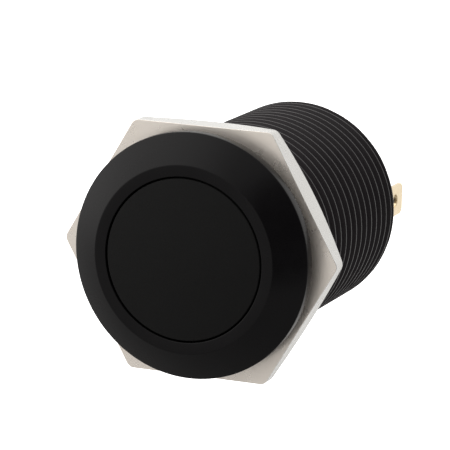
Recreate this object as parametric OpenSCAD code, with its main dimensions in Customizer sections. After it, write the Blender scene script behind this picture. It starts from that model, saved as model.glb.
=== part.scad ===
// Panel-mounted momentary push button with a threaded barrel, a hex nut and two solder lugs.
// Each piece is built along +Z, out of the button's face, and then laid so that the face looks
// towards -Y. The origin is on the axis, in the plane where the panel's front face sits.

/* [Bezel and barrel] */
// Diameter of the flange
flange_d = 25; // [24.6:0.1:26]
// Height of the flange's straight side wall
flange_wall = 1.2; // [0.9:0.1:1.8]
// Height of the flange's conical bevel
bevel_h = 1.9; // [1.4:0.1:2.2]
// Diameter at the inner edge of the bevel
bevel_inner_d = 19.04; // [18.2:0.02:20]
// Major diameter of the barrel's thread
thread_d = 22; // [21.8:0.1:22]
// Pitch of the barrel's thread
pitch = 1.5; // [1:0.25:1.5]
// Distance from the button's face to the rear end of the barrel
depth_behind_face = 31.4; // [30:0.1:33]

/* [Nut and seals] */
// Nut size across the flats
nut_af = 25.6; // [25:0.1:27]
// Nut thickness
nut_t = 2.8; // [2.2:0.1:4]
// Thickness of the panel gasket
gasket_t = 0.55; // [0.4:0.05:0.9]
// Thickness of the lock washer
washer_t = 0.42; // [0.3:0.01:0.42]

/* [Button] */
// Diameter of the button cap
cap_d = 16.36; // [15.9:0.02:16.5]
// Gap between the cap and the bezel, on the radius
cap_gap = 0.18; // [0.12:0.01:0.25]
// How far the cap goes in
travel = 2.2; // [1.8:0.1:2.4]
// How far the contact bridge gives way after the contacts have met
over_travel = 0.8; // [0.5:0.1:1]

/* [Contacts] */
// Distance from the axis to the middle of each lug
lug_x = 8; // [7.6:0.1:8.1]
// Height of the lugs' middle line above the axis
lug_z = -0.5; // [-0.6:0.1:0.6]
// Width of a lug
lug_w = 3.4; // [2.8:0.1:3.6]
// Thickness of a lug
lug_t = 0.5; // [0.4:0.05:0.6]
// How far a lug stands out behind the barrel
lug_len = 10.3; // [8:0.1:12]
// Diameter of the wire hole in a lug
lug_hole_d = 1.4; // [1:0.1:1.6]

/* [Hidden] */
$fn = 96;

eps = 0.01;
fit = 0.06;                                  // radial clearance of a running fit
seat_gap = 0.05;                             // gap between stacked pieces of one body
body_gap = 0.1;                              // gap between pieces that move apart

face_z = gasket_t + flange_wall + bevel_h;
rear_z = face_z - depth_behind_face;
flange_r = flange_d / 2;
bevel_r = bevel_inner_d / 2;
cap_r = cap_d / 2;
cap_bore_r = cap_r + cap_gap;
core_r = 9.2;                                // inner bore of the barrel
insert_r = 9.12;                             // pieces stacked in that bore
shoulder_depth = 2.65;
shoulder_z = face_z - shoulder_depth;        // inner shoulder that holds the cap in

thread_r = thread_d / 2;
crest_flat = pitch / 8;
root_flat = pitch / 4;
thread_depth = (pitch - crest_flat - root_flat) / 2 / tan(30);
lead_in = 0.4;
thread_top_z = -0.85;
rear_land = 0.75;                            // plain land behind the last groove, at least
groove_count = floor((thread_top_z - rear_z - lead_in - rear_land) / pitch);

nut_front_z = -washer_t - 2 * seat_gap;
nut_rear_z = nut_front_z - nut_t;
nut_corner_r = nut_af / 2 / cos(30);
nut_corner_cut = 0.12;                       // rounds the upright edges off
nut_cone_h = 1.15;                           // height of the rear chamfer at the corners
nut_cone_cut = 0.15;
nut_bore_r = thread_r + fit;
nut_bore_chamfer = 0.3;
gasket_r = 12.1;
washer_r = 12;
tooth_depth = 0.25;
tooth_gap = 0.5;

cap_plate = 1.3;
cap_under_z = face_z - cap_plate;
skirt_inner_r = 6.7;
lip_r = core_r - 0.2;
lip_top_z = shoulder_z - body_gap;
lip_bottom_z = lip_top_z - 1.2;
seal_depth = 1.95;
seal_z = face_z - seal_depth;
seal_minor_r = 0.42;
seal_mid_r = cap_bore_r - 0.02 - seal_minor_r;
boss_r = 2;
boss_len = 2.4;

head_top_z = cap_under_z - seat_gap;
head_t = 1.2;
head_r = skirt_inner_r - 0.1;
head_bottom_z = head_top_z - head_t;
stem_r = 3.2;
rod_r = 1.6;
stem_bottom_z = -7.4;
rod_end_z = -17;

sleeve_top_z = -5;
sleeve_t = 3.9;
ring_t = 0.8;
ring_groove_r = 9.6;
ring_inner_r = 7.9;
ring_gap = 3;
stop_inner_r = 6.6;
ring_groove_z = sleeve_top_z - sleeve_t - seat_gap - ring_t - seat_gap;
pin_r = 0.5;
pin_z = sleeve_top_z - 1.2;
pin_inner_x = 2.5;

cup_top_z = ring_groove_z - seat_gap;
cup_wall = 1.1;
cup_side_t = 0.45;
cup_bottom_z = -21.6;
clip_t = 0.45;
clip_inner_r = 1.25;
clip_gap = 1.2;
spring_clip_r = 2.8;
bridge_clip_r = 2.5;
spring_clip_z = cup_top_z - cup_wall - 0.4 - clip_t;
bridge_t = 0.5;
bridge_top_z = spring_clip_z - 3.4;
bridge_bottom_z = bridge_top_z - bridge_t;
bridge_hub_r = 2.9;
contact_x = 5;
contact_r = 1.1;
contact_h = 0.6;
rivet_hole_r = 0.6;
rivet_shank_r = 0.56;
fixed_top_z = bridge_bottom_z - contact_h - (travel - over_travel) - 0.02;

base_t = 1.8;
base_z = cup_bottom_z - seat_gap - base_t;
base_gasket_t = 0.6;
base_gasket_z = base_z - seat_gap - base_gasket_t;
potting_top_z = base_gasket_z - seat_gap;
potting_z = rear_z + 0.5;
lug_end_z = rear_z - lug_len;
lug_hole_inset = 2.35;
lug_corner_r = 0.7;
slot_gap = 0.08;

main_coil_r = 4.6;
main_wire_r = 0.35;
main_turns = 4;
small_coil_r = 2.3;
small_wire_r = 0.2;
small_turns = 4;

// Lays a piece that was built along +Z so that it points towards -Y.
module lay() {
    rotate([90, 0, 0]) children();
}

// A ring from bottom to top, with both outer edges chamfered.
module ring(r_out, r_in, bottom, top, chamfer = 0.1) {
    rotate_extrude()
        polygon([
            [r_in, bottom],
            [r_out - chamfer, bottom],
            [r_out, bottom + chamfer],
            [r_out, top - chamfer],
            [r_out - chamfer, top],
            [r_in, top]
        ]);
}

// A closed coil spring between two heights, swept round its own helix.
module coil(coil_r, wire_r, turns, bottom, top) {
    sides = 8;
    steps = 16;
    rings = turns * steps;
    low = bottom + wire_r;
    rise = top - bottom - 2 * wire_r;
    points = [
        for (i = [0:rings])
            for (j = [0:sides - 1])
                let (turn = 360 * i / steps, a = 360 * j / sides, r = coil_r + wire_r * cos(a))
                    [r * cos(turn), r * sin(turn), low + rise * i / rings + wire_r * sin(a)]
    ];
    walls = [
        for (i = [0:rings - 1])
            for (j = [0:sides - 1])
                let (k = (j + 1) % sides)
                    [i * sides + j, (i + 1) * sides + j, (i + 1) * sides + k, i * sides + k]
    ];
    first_end = [for (j = [0:sides - 1]) j];
    last_end = [for (j = [sides - 1:-1:0]) rings * sides + j];
    polyhedron(points, concat([first_end], walls, [last_end]), convexity = 10);
}

// An open snap ring with its gap at one side.
module snap_ring(r_out, r_in, bottom, thick, gap_w) {
    difference() {
        ring(r_out, r_in, bottom, bottom + thick, 0.05);
        translate([0, -gap_w / 2, bottom - eps])
            cube([r_out + 1, gap_w, thick + 2 * eps]);
    }
}

// Slots in the base pieces that the two terminals pass through.
module terminal_slots(bottom, top) {
    for (side = [-1, 1])
        translate([
            side * lug_x - lug_t / 2 - slot_gap,
            lug_z - lug_w / 2 - slot_gap,
            bottom - eps
        ])
            cube([lug_t + 2 * slot_gap, lug_w + 2 * slot_gap, top - bottom + 2 * eps]);
}

// Flange, threaded barrel and stepped bore, turned from one bar.
module bezel_housing() {
    rim = 0.12;
    grooves = [
        for (i = [0:groove_count - 1])
            let (z = thread_top_z - i * pitch)
                each [
                    [thread_r, z - crest_flat / 2],
                    [thread_r - thread_depth, z - pitch / 2 + root_flat / 2],
                    [thread_r - thread_depth, z - pitch / 2 - root_flat / 2],
                    [thread_r, z - pitch + crest_flat / 2]
                ]
    ];
    outside = concat(
        [
            [cap_bore_r, face_z],
            [bevel_r, face_z],
            [flange_r - rim, face_z - bevel_h],
            [flange_r, face_z - bevel_h - rim],
            [flange_r, gasket_t + rim],
            [flange_r - rim, gasket_t],
            [thread_r, gasket_t]
        ],
        grooves,
        [
            [thread_r, rear_z + lead_in],
            [thread_r - lead_in, rear_z],
            [core_r + 0.2, rear_z]
        ]
    );
    inside = [
        [core_r, rear_z + 0.2],
        [core_r, ring_groove_z],
        [ring_groove_r, ring_groove_z],
        [ring_groove_r, ring_groove_z + ring_t + 2 * seat_gap],
        [core_r, ring_groove_z + ring_t + 2 * seat_gap],
        [core_r, shoulder_z],
        [cap_bore_r, shoulder_z]
    ];
    color([0.1, 0.1, 0.11])
        lay()
            rotate_extrude()
                polygon(concat(outside, inside));
}

// Flat rubber ring between the flange and the panel.
module panel_gasket() {
    color([0.06, 0.06, 0.06])
        lay() ring(gasket_r, thread_r + body_gap, 0, gasket_t - 0.02, 0.08);
}

// Thin washer under the nut, with short teeth cut in its rim.
module lock_washer() {
    teeth = 24;
    color([0.12, 0.12, 0.13])
        lay()
            difference() {
                ring(washer_r, nut_bore_r, -seat_gap - washer_t, -seat_gap, 0.05);
                for (i = [0:teeth - 1])
                    rotate([0, 0, 360 * i / teeth])
                        translate([washer_r - tooth_depth, -tooth_gap / 2, -seat_gap - washer_t - eps])
                            cube([1, tooth_gap, washer_t + 2 * eps]);
            }
}

// Hex nut with flats at top and bottom, sharp at the front and chamfered at the rear.
module hex_nut() {
    color([0.78, 0.74, 0.68])
        lay()
            difference() {
                intersection() {
                    translate([0, 0, nut_rear_z])
                        cylinder(h = nut_t, r = nut_corner_r, $fn = 6);
                    rotate_extrude()
                        polygon([
                            [0, nut_rear_z],
                            [nut_af / 2 - nut_cone_cut, nut_rear_z],
                            [nut_corner_r - nut_corner_cut, nut_rear_z + nut_cone_h],
                            [nut_corner_r - nut_corner_cut, nut_front_z],
                            [0, nut_front_z]
                        ]);
                }
                translate([0, 0, nut_rear_z - 1])
                    cylinder(h = nut_t + 2, r = nut_bore_r);
                translate([0, 0, nut_front_z - nut_bore_chamfer])
                    cylinder(
                        h = nut_bore_chamfer + eps,
                        r1 = nut_bore_r,
                        r2 = nut_bore_r + nut_bore_chamfer
                    );
                translate([0, 0, nut_rear_z - eps])
                    cylinder(
                        h = nut_bore_chamfer + eps,
                        r1 = nut_bore_r + nut_bore_chamfer,
                        r2 = nut_bore_r
                    );
            }
}

// Flat cap with a skirt, a seal groove and a lip that keeps it in the bezel.
module button_cap() {
    edge = 0.12;
    groove_inner_r = seal_mid_r - seal_minor_r - 0.03;
    groove_half = seal_minor_r + 0.08;
    color([0.1, 0.1, 0.1])
        lay()
            union() {
                rotate_extrude()
                    polygon([
                        [0, face_z],
                        [cap_r - edge, face_z],
                        [cap_r, face_z - edge],
                        [cap_r, seal_z + groove_half],
                        [groove_inner_r, seal_z + groove_half],
                        [groove_inner_r, seal_z - groove_half],
                        [cap_r, seal_z - groove_half],
                        [cap_r, lip_top_z],
                        [lip_r, lip_top_z],
                        [lip_r, lip_bottom_z],
                        [skirt_inner_r, lip_bottom_z],
                        [skirt_inner_r, cap_under_z],
                        [0, cap_under_z]
                    ]);
                translate([0, 0, cap_under_z - boss_len])
                    cylinder(h = boss_len + eps, r = boss_r);
            }
}

// O-ring in the cap's groove.
module button_seal() {
    color([0.05, 0.05, 0.05])
        lay()
            rotate_extrude()
                translate([seal_mid_r, seal_z])
                    circle(r = seal_minor_r, $fn = 32);
}

// Head, stem and contact rod of the plunger.
module plunger() {
    color([0.86, 0.85, 0.8])
        lay()
            difference() {
                union() {
                    ring(head_r, 0, head_bottom_z, head_top_z);
                    translate([0, 0, stem_bottom_z])
                        cylinder(h = head_bottom_z - stem_bottom_z + eps, r = stem_r);
                    translate([0, 0, rod_end_z])
                        cylinder(h = stem_bottom_z - rod_end_z + eps, r = rod_r);
                }
                translate([0, 0, cap_under_z - boss_len - seat_gap])
                    cylinder(h = boss_len + 1, r = boss_r + 0.02);
                translate([pin_inner_x - 0.1, -pin_r - fit, stem_bottom_z - 1])
                    cube([stem_r, 2 * (pin_r + fit), pin_z + travel + pin_r - stem_bottom_z + 1.1]);
                for (z = [spring_clip_z, bridge_bottom_z - 0.05 - clip_t])
                    rotate_extrude()
                        translate([1.2, z - 0.03])
                            square([1, clip_t + 0.06]);
            }
}

// Main spring that pushes the button out.
module return_spring() {
    color([0.72, 0.73, 0.75])
        lay() coil(main_coil_r, main_wire_r, main_turns, sleeve_top_z + 0.05, head_bottom_z - 0.05);
}

// Fixed sleeve that the plunger's stem slides in.
module guide_sleeve() {
    color([0.82, 0.82, 0.78])
        lay()
            difference() {
                ring(insert_r, stem_r + fit, sleeve_top_z - sleeve_t, sleeve_top_z, 0.2);
                translate([0, 0, pin_z])
                    rotate([0, 90, 0])
                        cylinder(h = core_r, r = pin_r + 0.02);
            }
}

// Cross pin through the sleeve, in the stem's groove, that keeps the plunger from turning.
module guide_pin() {
    color([0.7, 0.7, 0.72])
        lay()
            translate([pin_inner_x, 0, pin_z])
                rotate([0, 90, 0])
                    cylinder(h = insert_r - 0.15 - pin_inner_x, r = pin_r);
}

// Rubber ring that the cap's lip lands on.
module stop_ring() {
    color([0.08, 0.08, 0.08])
        lay()
            ring(
                insert_r - 0.1,
                stop_inner_r,
                sleeve_top_z + seat_gap,
                lip_bottom_z - travel - body_gap,
                0.15
            );
}

// Internal snap ring under the guide sleeve.
module retaining_ring() {
    color([0.45, 0.45, 0.46])
        lay()
            snap_ring(ring_groove_r - 0.05, ring_inner_r, ring_groove_z + seat_gap, ring_t, ring_gap);
}

// Insulating cup round the contacts, open at the rear.
module contact_cup() {
    color([0.13, 0.13, 0.14])
        lay()
            difference() {
                ring(insert_r, rod_r + fit, cup_bottom_z, cup_top_z, 0.2);
                translate([0, 0, cup_bottom_z - eps])
                    cylinder(h = cup_top_z - cup_wall - cup_bottom_z, r = insert_r - cup_side_t);
            }
}

// Small clip on the rod that the contact spring pushes against.
module spring_clip() {
    color([0.7, 0.7, 0.72])
        lay() snap_ring(spring_clip_r, clip_inner_r, spring_clip_z, clip_t, clip_gap);
}

// Spring that presses the bridge onto the fixed contacts.
module contact_spring() {
    color([0.72, 0.73, 0.75])
        lay()
            coil(small_coil_r, small_wire_r, small_turns, bridge_top_z + 0.05, spring_clip_z - 0.05);
}

// Sprung bar that joins the two fixed contacts.
module contact_bridge() {
    bar_w = 3;
    color([0.8, 0.5, 0.3])
        lay()
            difference() {
                translate([0, 0, bridge_bottom_z])
                    union() {
                        cylinder(h = bridge_t, r = bridge_hub_r);
                        translate([-contact_x, -bar_w / 2, 0])
                            cube([2 * contact_x, bar_w, bridge_t]);
                        for (side = [-1, 1])
                            translate([side * contact_x, 0, 0])
                                cylinder(h = bridge_t, r = bar_w / 2);
                    }
                translate([0, 0, bridge_bottom_z - eps])
                    cylinder(h = bridge_t + 2 * eps, r = rod_r + fit);
                for (side = [-1, 1])
                    translate([side * contact_x, 0, bridge_bottom_z - eps])
                        cylinder(h = bridge_t + 2 * eps, r = rivet_hole_r);
            }
}

// Silver rivets of the bridge.
module bridge_contacts() {
    color([0.85, 0.85, 0.87])
        lay()
            for (side = [-1, 1])
                translate([side * contact_x, 0, bridge_bottom_z]) {
                    rotate_extrude()
                        polygon([
                            [0, -contact_h],
                            [contact_r * 0.6, -contact_h],
                            [contact_r, -contact_h / 2],
                            [contact_r, -0.01],
                            [rivet_shank_r, -0.01],
                            [rivet_shank_r, bridge_t + 0.02],
                            [0, bridge_t + 0.02]
                        ]);
                }
}

// Clip that keeps the bridge on the rod.
module bridge_clip() {
    color([0.7, 0.7, 0.72])
        lay()
            snap_ring(
                bridge_clip_r,
                clip_inner_r,
                bridge_bottom_z - seat_gap - clip_t,
                clip_t,
                clip_gap
            );
}

// Strip that carries a fixed contact, passes through the base and ends in a solder lug.
module terminal(side) {
    arm_z = fixed_top_z - contact_h;
    hole_z = lug_end_z + lug_hole_inset;
    arm_inner = contact_x - 1.4;
    color([0.83, 0.68, 0.38])
        lay()
            difference() {
                union() {
                    translate([
                        side > 0 ? arm_inner : -lug_x - lug_t / 2,
                        lug_z - lug_w / 2,
                        arm_z - lug_t
                    ])
                        cube([lug_x + lug_t / 2 - arm_inner, lug_w, lug_t]);
                    translate([side * lug_x - lug_t / 2, lug_z, 0])
                        rotate([90, 0, 90])
                            linear_extrude(lug_t)
                                lug_outline(lug_corner_r, arm_z - eps);
                }
                translate([side * lug_x - lug_t, lug_z, hole_z])
                    rotate([0, 90, 0])
                        cylinder(h = 2 * lug_t, d = lug_hole_d);
                translate([side * contact_x, 0, arm_z - lug_t - eps])
                    cylinder(h = lug_t + 2 * eps, r = rivet_hole_r);
            }
}

// Flat outline of a lug, from its rounded end up to the arm.
module lug_outline(corner, top) {
    translate([-lug_w / 2, lug_end_z + corner])
        square([lug_w, top - lug_end_z - corner]);
    translate([-lug_w / 2 + corner, lug_end_z])
        square([lug_w - 2 * corner, corner + eps]);
    for (side = [-1, 1])
        translate([side * (lug_w / 2 - corner), lug_end_z + corner])
            circle(r = corner, $fn = 48);
}

module terminal_left() {
    terminal(-1);
}

module terminal_right() {
    terminal(1);
}

// Silver rivets of the two terminals.
module fixed_contacts() {
    color([0.85, 0.85, 0.87])
        lay()
            for (side = [-1, 1])
                translate([side * contact_x, 0, fixed_top_z])
                    rotate_extrude()
                        polygon([
                            [0, 0],
                            [contact_r * 0.7, 0],
                            [contact_r, -contact_h / 2],
                            [contact_r, -contact_h + 0.02],
                            [rivet_shank_r, -contact_h + 0.02],
                            [rivet_shank_r, -contact_h - lug_t],
                            [0, -contact_h - lug_t]
                        ]);
}

// Insulating disc that closes the cup and carries the terminals.
module terminal_base() {
    color([0.13, 0.13, 0.14])
        lay()
            difference() {
                ring(insert_r, 0, base_z, base_z + base_t, 0.15);
                terminal_slots(base_z, base_z + base_t);
            }
}

// Rubber disc behind the base.
module base_gasket() {
    color([0.07, 0.07, 0.07])
        lay()
            difference() {
                ring(insert_r, 0, base_gasket_z, base_gasket_z + base_gasket_t, 0.05);
                terminal_slots(base_gasket_z, base_gasket_z + base_gasket_t);
            }
}

// Resin that seals the rear of the barrel round the lugs.
module potting_seal() {
    color([0.05, 0.05, 0.06])
        lay()
            difference() {
                ring(insert_r, 0, potting_z, potting_top_z, 0.1);
                terminal_slots(potting_z, potting_top_z);
            }
}

bezel_housing();
panel_gasket();
lock_washer();
hex_nut();
button_cap();
button_seal();
plunger();
return_spring();
guide_sleeve();
guide_pin();
stop_ring();
retaining_ring();
contact_cup();
spring_clip();
contact_spring();
contact_bridge();
bridge_contacts();
bridge_clip();
terminal_left();
terminal_right();
fixed_contacts();
terminal_base();
base_gasket();
potting_seal();
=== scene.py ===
"""Visual model of a panel-mounted push button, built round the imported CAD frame."""
import math

import bmesh
import bpy
from mathutils import Matrix, Vector

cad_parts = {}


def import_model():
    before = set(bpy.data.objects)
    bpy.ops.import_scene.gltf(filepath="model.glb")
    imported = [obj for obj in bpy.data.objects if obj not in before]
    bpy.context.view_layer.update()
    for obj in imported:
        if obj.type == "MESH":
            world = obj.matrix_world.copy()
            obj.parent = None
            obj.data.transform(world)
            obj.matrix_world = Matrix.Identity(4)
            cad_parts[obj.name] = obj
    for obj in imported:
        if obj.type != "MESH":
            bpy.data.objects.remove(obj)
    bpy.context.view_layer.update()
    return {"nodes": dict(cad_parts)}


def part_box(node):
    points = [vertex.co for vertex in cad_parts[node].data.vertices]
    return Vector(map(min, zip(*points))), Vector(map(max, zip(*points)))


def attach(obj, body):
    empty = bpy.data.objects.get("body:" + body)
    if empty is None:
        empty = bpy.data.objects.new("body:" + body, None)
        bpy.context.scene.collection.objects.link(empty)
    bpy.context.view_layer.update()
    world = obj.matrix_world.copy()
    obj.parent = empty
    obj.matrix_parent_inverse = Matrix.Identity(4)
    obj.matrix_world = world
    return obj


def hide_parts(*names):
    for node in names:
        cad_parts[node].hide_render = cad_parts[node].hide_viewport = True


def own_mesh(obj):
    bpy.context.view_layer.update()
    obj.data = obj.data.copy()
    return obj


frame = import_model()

MM = 0.001

# ---------------------------------------------------------------- sizes, in metres
# A size that a CAD node gives is read from the frame. The others repeat the CAD's own numbers, or are
# details that only the visual model has.


def low(node, axis):
    """Lowest coordinate of a CAD node along axis 0, 1 or 2."""
    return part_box(node)[0][axis]


def high(node, axis):
    """Highest coordinate of a CAD node along axis 0, 1 or 2."""
    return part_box(node)[1][axis]


FACE_Y = low("bezel_housing", 1)
REAR_Y = high("bezel_housing", 1)
FLANGE_R = high("bezel_housing", 0)
SEAT_Y = low("panel_gasket", 1)                 # underside of the flange
SEAT_GAP = 0.02 * MM                            # kept free between the flange and the gasket
SIDE_WALL = 1.2 * MM
BEVEL_H = SEAT_Y - SEAT_GAP - SIDE_WALL - FACE_Y
BEVEL_R = 9.52 * MM                             # where the bevel meets the flat front rim
FRONT_BORE = 2.65 * MM                          # depth of the bore that the cap slides in
THREAD_R = 11 * MM
PITCH = 1.5 * MM
THREAD_DEPTH = 0.81 * MM
BORE_R = 9.2 * MM                               # the barrel's bore
CAP_R = 8.18 * MM
CAP_BORE_R = CAP_R + 0.18 * MM
CAP_LIP_R = high("button_cap", 0)
LEAD_IN = 0.25 * MM                             # chamfer where the thread starts
CREST_AT_X = 13.1 * MM                          # a crest crosses the +X side here
NUT_FRONT_Y = low("hex_nut", 1)
NUT_REAR_Y = high("hex_nut", 1)
NUT_HALF_AF = high("hex_nut", 2)
NUT_BORE_R = THREAD_R + 0.06 * MM

ROUND = 192                                     # segments of a turned piece
CORNER_STEPS = 4                                # segments of a rounded corner

# ---------------------------------------------------------------- mesh helpers


def finish_mesh(bm, name, body, material, nodes=(), sharp=28):
    """Turns bm into a named piece that rides on body and stands for CAD nodes."""
    bmesh.ops.remove_doubles(bm, verts=bm.verts, dist=1e-7)
    bmesh.ops.recalc_face_normals(bm, faces=bm.faces)
    mesh = bpy.data.meshes.new(name)
    bm.to_mesh(mesh)
    bm.free()
    mesh.shade_smooth()
    mesh.set_sharp_from_angle(angle=math.radians(sharp))
    mesh.materials.append(material)
    piece = bpy.data.objects.new(name, mesh)
    bpy.context.scene.collection.objects.link(piece)
    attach(piece, body)
    if nodes:
        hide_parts(*nodes)
    return piece


def on_axis(radius, y, angle):
    """The point at a radius and an angle from +X towards +Z, at height y along the axis."""
    return Vector((radius * math.cos(angle), y, radius * math.sin(angle)))


def rounded(points, radius):
    """Closed outline of (r, y) points with each corner replaced by a small curve."""
    out = []
    count = len(points)
    for i, here in enumerate(points):
        here = Vector(here)
        before = Vector(points[i - 1]) - here
        after = Vector(points[(i + 1) % count]) - here
        cut = min(radius, 0.45 * before.length, 0.45 * after.length)
        start = here + before.normalized() * cut
        end = here + after.normalized() * cut
        for k in range(CORNER_STEPS + 1):
            t = k / CORNER_STEPS
            out.append(start * (1 - t) ** 2 + here * 2 * t * (1 - t) + end * t ** 2)
    return out


def lathe(bm, outline, segments=ROUND):
    """Adds a closed ring-shaped solid: an outline of (r, y) points turned round the axis."""
    rings = []
    for j in range(segments):
        angle = 2 * math.pi * j / segments
        rings.append([bm.verts.new(on_axis(p[0], p[1], angle)) for p in outline])
    size = len(outline)
    for j in range(segments):
        a, b = rings[j], rings[(j + 1) % segments]
        for i in range(size):
            k = (i + 1) % size
            bm.faces.new((a[i], a[k], b[k], b[i]))


def lathe_disc(bm, profile, segments=ROUND):
    """Adds a closed solid whose profile of (r, y) points starts and ends on the axis."""
    first = bm.verts.new((0, profile[0][1], 0))
    last = bm.verts.new((0, profile[-1][1], 0))
    inner = profile[1:-1]
    rings = []
    for j in range(segments):
        angle = 2 * math.pi * j / segments
        rings.append([bm.verts.new(on_axis(p[0], p[1], angle)) for p in inner])
    for j in range(segments):
        a, b = rings[j], rings[(j + 1) % segments]
        bm.faces.new((first, a[0], b[0]))
        for i in range(len(inner) - 1):
            bm.faces.new((a[i], a[i + 1], b[i + 1], b[i]))
        bm.faces.new((a[-1], last, b[-1]))


def sweep(bm, centres, radius, sides=14):
    """Adds a closed round wire along a list of centre points."""
    rings = []
    for i, centre in enumerate(centres):
        ahead = centres[min(i + 1, len(centres) - 1)] - centres[max(i - 1, 0)]
        ahead.normalize()
        side = ahead.cross(Vector((0, 1, 0))).normalized()
        up = side.cross(ahead)
        rings.append([
            bm.verts.new(centre + radius * (side * math.cos(a) + up * math.sin(a)))
            for a in (2 * math.pi * k / sides for k in range(sides))
        ])
    for a, b in zip(rings, rings[1:]):
        for k in range(sides):
            n = (k + 1) % sides
            bm.faces.new((a[k], a[n], b[n], b[k]))
    bm.faces.new(rings[0])
    bm.faces.new(reversed(rings[-1]))


# ---------------------------------------------------------------- material helpers


class Nodes:
    """Short ways to add and link shader nodes in one material."""

    def __init__(self, name):
        self.material = bpy.data.materials.new(name)
        self.material.use_nodes = True
        self.tree = self.material.node_tree
        self.shader = self.tree.nodes["Principled BSDF"]
        self.coords = self.add("ShaderNodeTexCoord").outputs["Object"]
        split = self.add("ShaderNodeSeparateXYZ")
        self.link(self.coords, split.inputs[0])
        self.x, self.y, self.z = split.outputs

    def add(self, kind, **settings):
        """Adds a node and sets its properties."""
        node = self.tree.nodes.new(kind)
        for key, value in settings.items():
            setattr(node, key, value)
        return node

    def link(self, out, into):
        """Joins an output to an input."""
        self.tree.links.new(out, into)

    def put(self, value, into):
        """Links a socket or sets a number."""
        if isinstance(value, (int, float)):
            into.default_value = value
        else:
            self.link(value, into)

    def math(self, operation, a, b=0.0):
        """A Math node on two sockets or numbers."""
        node = self.add("ShaderNodeMath", operation=operation)
        self.put(a, node.inputs[0])
        self.put(b, node.inputs[1])
        return node.outputs[0]

    def radius(self):
        """Distance from the part's axis."""
        squares = [self.math("POWER", axis, 2.0) for axis in (self.x, self.z)]
        return self.math("SQRT", self.math("ADD", *squares))

    def angle(self):
        """Angle round the part's axis, in radians."""
        return self.math("ARCTAN2", self.z, self.x)

    def vector(self, x, y, z):
        """A vector from three sockets or numbers."""
        node = self.add("ShaderNodeCombineXYZ")
        for value, into in zip((x, y, z), node.inputs):
            self.put(value, into)
        return node.outputs[0]

    def noise(self, scale, detail=3.0, vector=None, rough=0.6):
        """Fractal noise, in the object's own coordinates unless a vector is given."""
        node = self.add("ShaderNodeTexNoise")
        self.link(self.coords if vector is None else vector, node.inputs["Vector"])
        node.inputs["Scale"].default_value = scale
        node.inputs["Detail"].default_value = detail
        node.inputs["Roughness"].default_value = rough
        return node.outputs["Fac"]

    def spread(self, value, low_out, high_out, low_in=0.3, high_in=0.7):
        """Maps a value from one range to another."""
        node = self.add("ShaderNodeMapRange")
        self.link(value, node.inputs["Value"])
        for key, number in (("From Min", low_in), ("From Max", high_in),
                            ("To Min", low_out), ("To Max", high_out)):
            node.inputs[key].default_value = number
        return node.outputs["Result"]

    def mix(self, factor, first, second):
        """Blends two colours."""
        node = self.add("ShaderNodeMix", data_type="RGBA")
        colour_a, colour_b, colour_out = node.inputs[6], node.inputs[7], node.outputs[2]
        self.link(factor, node.inputs["Factor"])
        colour_a.default_value = (*first, 1)
        colour_b.default_value = (*second, 1)
        return colour_out

    def stretched(self, x, y, z):
        """The object's coordinates, each multiplied by its own number."""
        return self.vector(*(self.math("MULTIPLY", axis, k)
                             for axis, k in zip((self.x, self.y, self.z), (x, y, z))))

    def turned(self, radius, y, angle):
        """Radius, height and angle round the axis, each multiplied by its own number."""
        return self.vector(*(self.math("MULTIPLY", axis, k)
                             for axis, k in zip((self.radius(), self.y, self.angle()), (radius, y, angle))))

    def bump(self, height, strength, distance, before=None):
        """A normal bumped by a height, on top of an earlier normal if there is one."""
        node = self.add("ShaderNodeBump")
        node.inputs["Strength"].default_value = strength
        node.inputs["Distance"].default_value = distance
        self.link(height, node.inputs["Height"])
        if before is not None:
            self.link(before, node.inputs["Normal"])
        return node.outputs["Normal"]

    def set(self, **values):
        """Sets or links the shader's own sockets. Underscores stand for spaces."""
        for key, value in values.items():
            socket = self.shader.inputs[key.replace("_", " ")]
            if isinstance(value, tuple):
                socket.default_value = (*value, 1)
            else:
                self.put(value, socket)
        return self.material


def anodised(name, dark, light, rough, turned, grain, level, speckle=0.0):
    """Black anodised aluminium: fine turning marks, a matte grain and slight colour drift."""
    n = Nodes(name)
    rings = n.noise(scale=1.0, detail=4.0, vector=n.turned(radius=9000.0, y=9000.0, angle=0.6))
    pores = n.noise(scale=9000.0, detail=2.0)
    drift = n.noise(scale=260.0, detail=3.0)
    normal = n.bump(rings, strength=turned, distance=0.03 * MM)
    normal = n.bump(pores, strength=grain, distance=0.02 * MM, before=normal)
    shade = n.math("ADD", n.math("MULTIPLY", pores, speckle), n.math("MULTIPLY", drift, 1 - speckle))
    n.set(Base_Color=n.mix(shade, dark, light), Roughness=n.spread(drift, rough - 0.04, rough + 0.05))
    return n.set(Metallic=0.0, Specular_IOR_Level=level, Normal=normal)


def nickel(name, first, second, rough, turned, milled):
    """Nickel-plated brass: fine tool marks, faint scratches and an uneven tint."""
    n = Nodes(name)
    rings = n.noise(scale=1.0, detail=5.0, vector=n.turned(radius=8000.0, y=2500.0, angle=1.2), rough=0.7)
    strokes = n.noise(scale=1.0, detail=3.0, vector=n.stretched(x=420.0, y=9000.0, z=420.0), rough=0.65)
    tint = n.noise(scale=420.0, detail=3.0)
    smudge = n.noise(scale=900.0, detail=2.0)
    normal = n.bump(rings, strength=turned, distance=0.05 * MM)
    normal = n.bump(strokes, strength=milled, distance=0.04 * MM, before=normal)
    n.set(Base_Color=n.mix(tint, first, second), Normal=normal,
          Roughness=n.spread(smudge, rough - 0.04, rough + 0.06))
    return n.set(Metallic=0.6)


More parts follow.
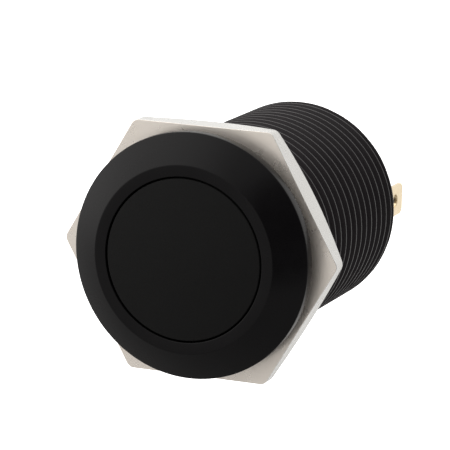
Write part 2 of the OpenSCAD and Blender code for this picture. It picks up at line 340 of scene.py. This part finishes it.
def rubber():
    """Moulded black rubber with a dusty, fine-grained skin."""
    n = Nodes("nitrile_rubber")
    grain = n.noise(scale=5200.0, detail=3.0)
    dust = n.noise(scale=500.0, detail=4.0)
    n.set(Base_Color=n.mix(dust, (0.010, 0.010, 0.010), (0.022, 0.021, 0.020)),
          Roughness=n.spread(dust, 0.62, 0.8), Normal=n.bump(grain, strength=0.4, distance=0.04 * MM))
    return n.set(Specular_IOR_Level=0.35)


def metal(name, first, second, rough, scale=2600.0, stretch=(1.0, 0.08, 1.0)):
    """Drawn, rolled or plated metal with a grain along one direction."""
    n = Nodes(name)
    grain = n.noise(scale, detail=4.0, vector=n.stretched(*stretch))
    stain = n.noise(scale=600.0, detail=3.0)
    n.set(Base_Color=n.mix(stain, first, second), Roughness=n.spread(grain, rough - 0.06, rough + 0.1),
          Normal=n.bump(grain, strength=0.2, distance=0.03 * MM))
    return n.set(Metallic=1.0)


def plastic(name, first, second, rough, grain_scale=3800.0, level=0.45):
    """Moulded plastic with a fine spark-eroded texture and flow shading."""
    n = Nodes(name)
    grain = n.noise(scale=grain_scale, detail=3.0)
    flow = n.noise(scale=240.0, detail=3.0)
    n.set(Base_Color=n.mix(flow, first, second), Roughness=n.spread(flow, rough - 0.05, rough + 0.07),
          Normal=n.bump(grain, strength=0.25, distance=0.03 * MM))
    return n.set(Specular_IOR_Level=level)


BEZEL = anodised("bezel_anodised", (0.0036, 0.0032, 0.0037), (0.0058, 0.0053, 0.0060),
                 rough=0.25, turned=0.10, grain=0.06, level=0.14)
BARREL = anodised("barrel_anodised", (0.0230, 0.0205, 0.0224), (0.0330, 0.0295, 0.0318),
                  rough=0.36, turned=0.16, grain=0.10, level=0.12)
CAP = anodised("cap_anodised", (0.0050, 0.0050, 0.0051), (0.0165, 0.0164, 0.0164),
               rough=0.58, turned=0.03, grain=0.40, level=0.06, speckle=0.8)
# One nickel plating in two colours. The brighter, warmer colour of the front is a painted highlight of the
# light at the upper left. The darker, cooler grey of the milled sides is painted shade. The tool marks and
# roughness are the real finishes.
NICKEL_FACE_PAINTED_HIGHLIGHT = nickel("nickel_turned_painted_highlight", (1.0, 0.935, 0.865), (0.96, 0.885, 0.80),
                     rough=0.30, turned=0.22, milled=0.02)
NICKEL_FLAT_PAINTED_SHADE = nickel("nickel_milled_painted_shade", (0.70, 0.70, 0.685), (0.65, 0.645, 0.625),
                     rough=0.27, turned=0.02, milled=0.16)
RUBBER = rubber()
OXIDE = metal("black_oxide", (0.035, 0.030, 0.028), (0.060, 0.050, 0.045), rough=0.42)
STEEL = metal("drawn_steel", (0.58, 0.58, 0.60), (0.48, 0.47, 0.47), rough=0.28)
GOLD = metal("gold_plate", (0.86, 0.73, 0.52), (0.76, 0.62, 0.40),
             rough=0.26, scale=1800.0, stretch=(1.0, 0.05, 1.0))
BRONZE = metal("phosphor_bronze", (0.72, 0.42, 0.26), (0.60, 0.34, 0.20), rough=0.32)
SILVER = metal("contact_silver", (0.86, 0.85, 0.83), (0.74, 0.72, 0.68), rough=0.3)
NYLON = plastic("natural_nylon", (0.74, 0.72, 0.66), (0.64, 0.61, 0.53), rough=0.5)
BLACK_PLASTIC = plastic("filled_plastic", (0.018, 0.018, 0.019), (0.030, 0.030, 0.031), rough=0.5)
RESIN = plastic("cast_resin", (0.008, 0.008, 0.009), (0.014, 0.013, 0.014),
                rough=0.16, grain_scale=900.0, level=0.5)

# ---------------------------------------------------------------- turned pieces


def flange():
    """The bezel's flange with its bevel, side wall and front bore."""
    overlap = 0.1 * MM                          # of its rear opening with the barrel's wall
    outline = [
        (CAP_BORE_R, FACE_Y),
        (BEVEL_R, FACE_Y),
        (FLANGE_R, FACE_Y + BEVEL_H),
        (FLANGE_R, SEAT_Y - SEAT_GAP),
        (THREAD_R - THREAD_DEPTH - overlap, SEAT_Y - SEAT_GAP),
        (BORE_R + overlap, FACE_Y + FRONT_BORE),
        (CAP_BORE_R, FACE_Y + FRONT_BORE),
    ]
    bm = bmesh.new()
    lathe(bm, rounded(outline, radius=0.09 * MM), segments=288)
    return bm


def thread_radius(phase):
    """Radius of a 60 degree thread at a phase from 0, the middle of a crest, to 1."""
    crest = 1 / 16                              # half of each flat, in pitches
    root = 1 / 8
    from_crest = min(phase, 1 - phase)
    depth = (from_crest - crest) / (0.5 - crest - root)
    return THREAD_R - THREAD_DEPTH * min(max(depth, 0), 1)


def helix(bm):
    """Adds the thread's surface, a true right-hand helix that runs past both ends of the barrel."""
    rows_per_pitch = 16
    segments = 256
    plain, fade = 0.8 * MM, 0.3 * MM            # the rear without thread, and where the thread fades out
    step = PITCH / rows_per_pitch
    first = math.floor((SEAT_Y - CREST_AT_X - PITCH) / step)
    last = math.ceil((REAR_Y - CREST_AT_X + 2 * PITCH) / step)
    grid = {}
    for k in range(first, last + 1):
        phase = (k % rows_per_pitch) / rows_per_pitch
        for j in range(segments):
            y = CREST_AT_X + k * step - PITCH * j / segments
            run_out = min(max((y - REAR_Y + plain) / fade, 0), 1)
            depth = (THREAD_R - thread_radius(phase)) * (1 - run_out)
            radius = THREAD_R - max(depth, y - REAR_Y + LEAD_IN)
            grid[k, j] = bm.verts.new(on_axis(radius, y, 2 * math.pi * j / segments))
    for k in range(first, last):
        for j in range(segments - 1):
            bm.faces.new((grid[k, j], grid[k + 1, j], grid[k + 1, j + 1], grid[k, j + 1]))
        if k - rows_per_pitch >= first:
            a, b = k - rows_per_pitch, segments - 1
            bm.faces.new((grid[k, b], grid[k + 1, b], grid[a + 1, 0], grid[a, 0]))


def extend_edge(bm, y, profile):
    """Carries the open edge at height y through a profile of (r, y) points. Gives the last edge."""
    same_height = 1e-6
    edges = [e for e in bm.edges
             if e.is_boundary and all(abs(v.co.y - y) < same_height for v in e.verts)]
    for radius, to_y in profile:
        made = bmesh.ops.extrude_edge_only(bm, edges=edges)["geom"]
        for v in (g for g in made if isinstance(g, bmesh.types.BMVert)):
            v.co = on_axis(radius, to_y, math.atan2(v.co.z, v.co.x))
        edges = [g for g in made if isinstance(g, bmesh.types.BMEdge) and g.is_boundary]
    return edges


def barrel():
    """The threaded barrel: the thread cut square at both ends, and a bore between them."""
    front = SEAT_Y - 0.3 * MM                   # inside the flange
    mouth = 0.25 * MM                           # chamfer at the bore's rear end
    bm = bmesh.new()
    helix(bm)
    for y, outward in ((front, -1), (REAR_Y, 1)):
        bmesh.ops.bisect_plane(
            bm, geom=bm.verts[:] + bm.edges[:] + bm.faces[:], dist=1e-8,
            plane_co=(0, y, 0), plane_no=(0, outward, 0), clear_outer=True)
    front_edge = extend_edge(bm, front, [(BORE_R, front)])
    rear_edge = extend_edge(bm, REAR_Y, [(BORE_R + mouth, REAR_Y), (BORE_R, REAR_Y - mouth),
                                         (BORE_R, front + 0.5 * MM)])
    bmesh.ops.bridge_loops(bm, edges=front_edge + rear_edge)
    return bm


def cap():
    """The flat button cap with its skirt, seal groove and lip."""
    gap = 0.05 * MM                             # round the seal, in its groove
    seal_lo, seal_hi = low("button_seal", 1) - gap, high("button_seal", 1) + gap
    groove_r = high("button_seal", 0) - (seal_hi - seal_lo) + gap
    lip_front = FACE_Y + 2.75 * MM
    lip_back = lip_front + 1.2 * MM
    skirt_r = 6.7 * MM
    under = FACE_Y + 1.3 * MM                   # back of the cap's flat top
    boss_r, boss_back = 2 * MM, under + 2.4 * MM
    outline = [
        (CAP_R, FACE_Y), (CAP_R, seal_lo), (groove_r, seal_lo), (groove_r, seal_hi), (CAP_R, seal_hi),
        (CAP_R, lip_front), (CAP_LIP_R, lip_front), (CAP_LIP_R, lip_back),
        (skirt_r, lip_back), (skirt_r, under), (boss_r, under), (boss_r, boss_back),
    ]
    body = rounded(outline, radius=0.07 * MM)
    ends = CORNER_STEPS + 1                     # points of the first and last corners, replaced here
    front = [Vector((CAP_R - 0.13 * MM, FACE_Y)), Vector((CAP_R - 0.04 * MM, FACE_Y + 0.035 * MM)),
             Vector((CAP_R, FACE_Y + 0.14 * MM))]
    back = [Vector((boss_r, under + 2.3 * MM)), Vector((1.9 * MM, boss_back)), Vector((0, body[-1].y))]
    bm = bmesh.new()
    lathe_disc(bm, [Vector((0, FACE_Y))] + front + body[ends:-ends] + back, segments=256)
    return bm


finish_mesh(flange(), "bezel_flange", "root", BEZEL, ("bezel_housing",))
finish_mesh(barrel(), "bezel_barrel", "root", BARREL, sharp=24)
finish_mesh(cap(), "button_cap_turned", "button", CAP, ("button_cap",))

# ---------------------------------------------------------------- hex nut


def hex_reach(from_corner, round_r):
    """Distance from the axis to a rounded hexagon, at an angle from its nearest corner."""
    flat = NUT_HALF_AF / math.cos(math.radians(30) - from_corner)
    centre = (NUT_HALF_AF - round_r) / math.cos(math.radians(30))
    tangent = math.atan2(round_r * 0.5, centre + round_r * math.cos(math.radians(30)))
    if from_corner > tangent:
        return flat
    arc = centre * math.cos(from_corner)
    return min(flat, arc + math.sqrt(max(round_r ** 2 - (centre * math.sin(from_corner)) ** 2, 0)))


def nut():
    """Hex nut: flats at top and bottom, rounded uprights, coned at the rear, and a plain bore."""
    segments = 720
    cone_r = NUT_HALF_AF - 0.15 * MM            # where the cone meets the rear face
    cone_drop, corner_cut = 1.15 * MM, 0.12 * MM
    corner_r = NUT_HALF_AF / math.cos(math.radians(30))
    slope = cone_drop / (corner_r - corner_cut - cone_r)
    bore_chamfer = 0.3 * MM
    edge = 0.05 * MM
    ease = 0.3 * edge
    milled = (4, 5, 6)                          # faces of the profile on the nut's sides, milled, and given the darker, cooler nickel colour as painted shade
    bm = bmesh.new()
    rings = []
    for j in range(segments):
        angle = 2 * math.pi * j / segments
        from_corner = abs((angle + math.pi / 6) % (math.pi / 3) - math.pi / 6)
        reach = hex_reach(from_corner, round_r=0.85 * MM)
        rear = NUT_REAR_Y - max(0.0, reach - cone_r) * slope
        profile = [
            (NUT_BORE_R, NUT_FRONT_Y + bore_chamfer), (NUT_BORE_R + bore_chamfer, NUT_FRONT_Y),
            (FLANGE_R + 0.02 * MM, NUT_FRONT_Y), (reach - edge, NUT_FRONT_Y),
            (reach - ease, NUT_FRONT_Y + ease), (reach, NUT_FRONT_Y + edge),
            (reach, rear - 0.5 * edge), (reach - ease, rear + ease),
            (cone_r, NUT_REAR_Y), (NUT_BORE_R + bore_chamfer, NUT_REAR_Y),
            (NUT_BORE_R, NUT_REAR_Y - bore_chamfer),
        ]
        rings.append([bm.verts.new(on_axis(r, y, angle)) for r, y in profile])
    for j in range(segments):
        a, b = rings[j], rings[(j + 1) % segments]
        for i in range(len(a)):
            k = (i + 1) % len(a)
            face = bm.faces.new((a[i], a[k], b[k], b[i]))
            face.material_index = 1 if i in milled else 0
    return bm


# The nut's front face, bore and rear cone take the brighter, warmer nickel colour, a painted highlight. Its
# sides take the darker, cooler one, painted shade.
fixing_nut = finish_mesh(nut(), "fixing_nut", "nut", NICKEL_FACE_PAINTED_HIGHLIGHT, ("hex_nut",), sharp=20)
fixing_nut.data.materials.append(NICKEL_FLAT_PAINTED_SHADE)

# ---------------------------------------------------------------- panel gasket


def gasket():
    """The rubber ring under the flange."""
    inner, outer = THREAD_R + 0.1 * MM, high("panel_gasket", 0)
    front, back = low("panel_gasket", 1), high("panel_gasket", 1)
    bm = bmesh.new()
    lathe(bm, rounded([(inner, front), (outer, front), (outer, back), (inner, back)], radius=0.14 * MM))
    return bm


finish_mesh(gasket(), "panel_gasket_ring", "root", RUBBER, ("panel_gasket",), sharp=40)

# ---------------------------------------------------------------- rear end: lugs and resin

LUG_T = 0.5 * MM
LUG_X = high("terminal_right", 0) - LUG_T / 2
LUG_Z = (low("terminal_right", 2) + high("terminal_right", 2)) / 2
LUG_HALF_W = (high("terminal_right", 2) - low("terminal_right", 2)) / 2
LUG_END_Y = high("terminal_right", 1)
ARM_Y = low("terminal_right", 1)
ARM_X = low("terminal_right", 0)
LUG_CORNER = 0.7 * MM                           # radius of the corners at the tip
HOLE_Y = LUG_END_Y - 2.35 * MM                  # the wire hole
HOLE_R = 0.7 * MM


def lug_reach(angle, inset):
    """Distance from the wire hole to the lug's outline, at an angle from +Y towards +Z."""
    across, along = math.sin(angle), math.cos(angle)
    half, corner = LUG_HALF_W - inset, LUG_CORNER - inset
    end = (LUG_END_Y if along > 0 else ARM_Y + 2 * inset) - HOLE_Y - inset
    reach = min(half / max(abs(across), 1e-9), end / along if abs(along) > 1e-9 else 1.0)
    y, z = reach * along, abs(reach * across)
    centre = Vector((end - corner, half - corner))
    if along > 0 and y > centre.x and z > centre.y:
        ray = Vector((along, abs(across)))
        nearest = ray.dot(centre)
        reach = nearest + math.sqrt(max(nearest ** 2 - centre.length_squared + corner ** 2, 0))
    return reach


def lug(side):
    """A stamped solder lug with rolled edges and a wire hole, and the arm at its inner end."""
    edge = 0.07 * MM
    half = LUG_T / 2
    rays = 288
    x = side * LUG_X
    bm = bmesh.new()
    rings = []
    for j in range(rays):
        angle = 2 * math.pi * (j + 0.5) / rays
        inner, outer = lug_reach(angle, inset=edge), lug_reach(angle, inset=0.0)
        ring = []
        for reach, dx in ((HOLE_R + edge, half), (inner, half), (outer, half - edge),
                          (outer, edge - half), (inner, -half), (HOLE_R + edge, -half),
                          (HOLE_R, edge - half), (HOLE_R, half - edge)):
            ring.append(bm.verts.new((x + dx, HOLE_Y + reach * math.cos(angle),
                                      LUG_Z + reach * math.sin(angle))))
        rings.append(ring)
    for j in range(rays):
        a, b = rings[j], rings[(j + 1) % rays]
        for i in range(len(a)):
            k = (i + 1) % len(a)
            bm.faces.new((a[i], a[k], b[k], b[i]))
    made = bmesh.ops.create_cube(bm, size=1.0)["verts"]
    span = LUG_X + half - ARM_X
    for v in made:
        v.co = Vector((side * (ARM_X + span / 2) + v.co.x * span,
                       ARM_Y + half + v.co.y * LUG_T, LUG_Z + v.co.z * 2 * LUG_HALF_W))
    edges = list({e for v in made for e in v.link_edges})
    bmesh.ops.bevel(bm, geom=edges, offset=edge, segments=2, affect="EDGES", profile=0.5)
    return bm


finish_mesh(lug(-1), "solder_lug_left", "root", GOLD, ("terminal_left",))
finish_mesh(lug(1), "solder_lug_right", "root", GOLD, ("terminal_right",))


def resin():
    """Cast resin that closes the barrel, with a small meniscus up the wall."""
    back, front, edge = high("potting_seal", 1), low("potting_seal", 1), high("potting_seal", 0)
    dip, lip, climb = 0.22 * MM, 0.06 * MM, 1.1 * MM
    steps = 8
    profile = [(0, front), (edge, front), (edge, back - 0.02 * MM)]
    for k in range(steps + 1):
        t = k / steps
        profile.append((edge - lip - climb * t, back - dip * (1 - (1 - t) ** 2)))
    profile += [(edge * 0.5, back - dip * 1.15), (0, back - dip * 1.2)]
    bm = bmesh.new()
    lathe_disc(bm, [Vector(p) for p in profile])
    return bm


finish_mesh(resin(), "rear_resin", "root", RESIN, ("potting_seal",), sharp=50)

# ---------------------------------------------------------------- springs


def spring(node, coil_r, wire_r, turns):
    """A coil spring that fills a CAD spring's length, with its turns closer at both ends."""
    steps_per_turn = 40
    flatten = 0.09                              # how far the ends' pitch is reduced
    start, end = low(node, 1) + wire_r, high(node, 1) - wire_r
    steps = steps_per_turn * turns
    centres = []
    for i in range(steps + 1):
        t = i / steps
        eased = t - flatten * math.sin(2 * math.pi * t)
        centres.append(on_axis(coil_r, start + (end - start) * eased, -2 * math.pi * turns * t))
    bm = bmesh.new()
    sweep(bm, centres, wire_r)
    return bm


main_spring = finish_mesh(spring("return_spring", coil_r=4.6 * MM, wire_r=0.35 * MM, turns=4),
                          "main_spring", "root", STEEL, ("return_spring",))
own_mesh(main_spring)
small_spring = finish_mesh(spring("contact_spring", coil_r=2.3 * MM, wire_r=0.2 * MM, turns=4),
                           "small_spring", "button", STEEL, ("contact_spring",))
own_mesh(small_spring)

# ---------------------------------------------------------------- CAD nodes that keep their own mesh


def paint(node, material):
    """Gives a CAD node that keeps its own mesh a better material."""
    mesh = frame["nodes"][node].data
    mesh.materials.clear()
    mesh.materials.append(material)


for node, material in {
    "lock_washer": OXIDE,
    "button_seal": RUBBER, "stop_ring": RUBBER, "base_gasket": RUBBER,
    "plunger": NYLON, "guide_sleeve": NYLON,
    "contact_cup": BLACK_PLASTIC, "terminal_base": BLACK_PLASTIC,
    "guide_pin": STEEL, "retaining_ring": STEEL, "spring_clip": STEEL, "bridge_clip": STEEL,
    "contact_bridge": BRONZE,
    "bridge_contacts": SILVER, "fixed_contacts": SILVER,
}.items():
    paint(node, material)

# ---------------------------------------------------------------- camera

VIEW_AZ, VIEW_EL, VIEW_ROLL = math.radians(22.2), math.radians(12.38), math.radians(1.5)
VIEW_DISTANCE = 315.9 * MM
LENS = 258.5                                    # Blender's millimetres, as is the sensor's width
SENSOR_WIDTH = 36
AIM = Vector((4.415 * MM, FACE_Y, 4.036 * MM))


def camera():
    """A long lens, from the front right and a little above, rolled slightly."""
    back = Vector((math.sin(VIEW_AZ) * math.cos(VIEW_EL),
                   -math.cos(VIEW_AZ) * math.cos(VIEW_EL), math.sin(VIEW_EL)))
    right = (-back).cross(Vector((0, 0, 1))).normalized()
    up = right.cross(-back)
    side = right * math.cos(VIEW_ROLL) + up * math.sin(VIEW_ROLL)
    top = up * math.cos(VIEW_ROLL) - right * math.sin(VIEW_ROLL)
    data = bpy.data.cameras.new("camera")
    data.sensor_width = SENSOR_WIDTH
    data.lens = LENS
    data.clip_start, data.clip_end = 0.01, 10
    cam = bpy.data.objects.new("camera", data)
    turn = Matrix((side, top, back)).transposed().to_4x4()
    cam.matrix_world = Matrix.Translation(AIM + back * VIEW_DISTANCE) @ turn
    bpy.context.scene.collection.objects.link(cam)
    bpy.context.scene.camera = cam


camera()

# ---------------------------------------------------------------- floor and light


def toward(az, el):
    """Unit vector towards an azimuth (0 in front, 90 at the right) and an elevation, in degrees."""
    a, e = math.radians(az), math.radians(el)
    return Vector((math.sin(a) * math.cos(e), -math.cos(a) * math.cos(e), math.sin(e)))


def floor():
    """A wide pale floor well below the part. The camera sees it, and it lights nothing."""
    half, drop = 3.0, 0.12
    bm = bmesh.new()
    corners = [(-half, -half, -drop), (half, -half, -drop), (half, half, -drop), (-half, half, -drop)]
    bm.faces.new([bm.verts.new(c) for c in corners])
    mesh = bpy.data.meshes.new("floor")
    bm.to_mesh(mesh)
    bm.free()
    n = Nodes("pale_floor")
    n.set(Base_Color=n.mix(n.noise(scale=3.0), (0.90, 0.90, 0.90), (0.94, 0.94, 0.94)))
    n.set(Roughness=0.9, Emission_Color=(1.0, 1.0, 1.0), Emission_Strength=1.0)
    mesh.materials.append(n.material)
    plane = bpy.data.objects.new("floor", mesh)
    bpy.context.scene.collection.objects.link(plane)
    plane.visible_glossy = False
    plane.visible_diffuse = False


# The white tent round the part. Each patch has a direction, the cosines from it where the patch starts
# and is full, and the level that it adds. The opening has the level that it multiplies by.
TENT_COLOUR = (1.0, 0.985, 0.965, 1)
TENT_BASE = 0.74
TENT_PATCHES = (
    (toward(180, 10), 0.10, 0.75, 0.34),        # bright sweep behind
    (toward(-70, 38), 0.50, 0.98, 1.25),        # large soft box, upper left
    (toward(-20, 80), 0.40, 0.95, 0.10),        # paler roof
    (toward(-20, -80), 0.00, 0.80, -0.27),      # greyer table
)
TENT_OPENING = (toward(37, 8), math.cos(math.radians(35)), math.cos(math.radians(25)), 0.08)
BACKDROP_LEVEL = 1.1


def world():
    """A tent that lights the part, and a plain white backdrop that only the camera sees."""
    studio = bpy.data.worlds.new("studio")
    studio.use_nodes = True
    tree = studio.node_tree
    tree.nodes.clear()

    def step(direction, start, full, low_out, high_out):
        """A value that runs from low_out to high_out as a ray turns towards a direction."""
        dot = tree.nodes.new("ShaderNodeVectorMath")
        dot.operation = "DOT_PRODUCT"
        dot.inputs[1].default_value = direction
        tree.links.new(facing, dot.inputs[0])
        ramp = tree.nodes.new("ShaderNodeMapRange")
        ramp.interpolation_type = "SMOOTHSTEP"
        for key, number in (("From Min", start), ("From Max", full),
                            ("To Min", low_out), ("To Max", high_out)):
            ramp.inputs[key].default_value = number
        tree.links.new(dot.outputs["Value"], ramp.inputs["Value"])
        return ramp.outputs["Result"]

    def combine(operation, a, b):
        """A Math node on two sockets."""
        node = tree.nodes.new("ShaderNodeMath")
        node.operation = operation
        tree.links.new(a, node.inputs[0])
        tree.links.new(b, node.inputs[1])
        return node.outputs[0]

    facing = tree.nodes.new("ShaderNodeTexCoord").outputs["Generated"]
    base = tree.nodes.new("ShaderNodeValue")
    base.outputs[0].default_value = TENT_BASE
    level = base.outputs[0]
    for direction, start, full, height in TENT_PATCHES:
        level = combine("ADD", level, step(direction, start, full, 0.0, height))
    direction, start, full, dim = TENT_OPENING
    level = combine("MULTIPLY", level, step(direction, start, full, 1.0, dim))
    tent = tree.nodes.new("ShaderNodeBackground")
    tent.inputs["Color"].default_value = TENT_COLOUR
    tree.links.new(level, tent.inputs["Strength"])
    seen = tree.nodes.new("ShaderNodeBackground")
    seen.inputs["Color"].default_value = (1, 1, 1, 1)
    seen.inputs["Strength"].default_value = BACKDROP_LEVEL
    mix = tree.nodes.new("ShaderNodeMixShader")
    tree.links.new(tree.nodes.new("ShaderNodeLightPath").outputs["Is Camera Ray"], mix.inputs[0])
    tree.links.new(tent.outputs[0], mix.inputs[1])
    tree.links.new(seen.outputs[0], mix.inputs[2])
    tree.links.new(mix.outputs[0], tree.nodes.new("ShaderNodeOutputWorld").inputs[0])
    bpy.context.scene.world = studio


floor()
world()
bpy.context.scene.view_settings.view_transform = "Standard"
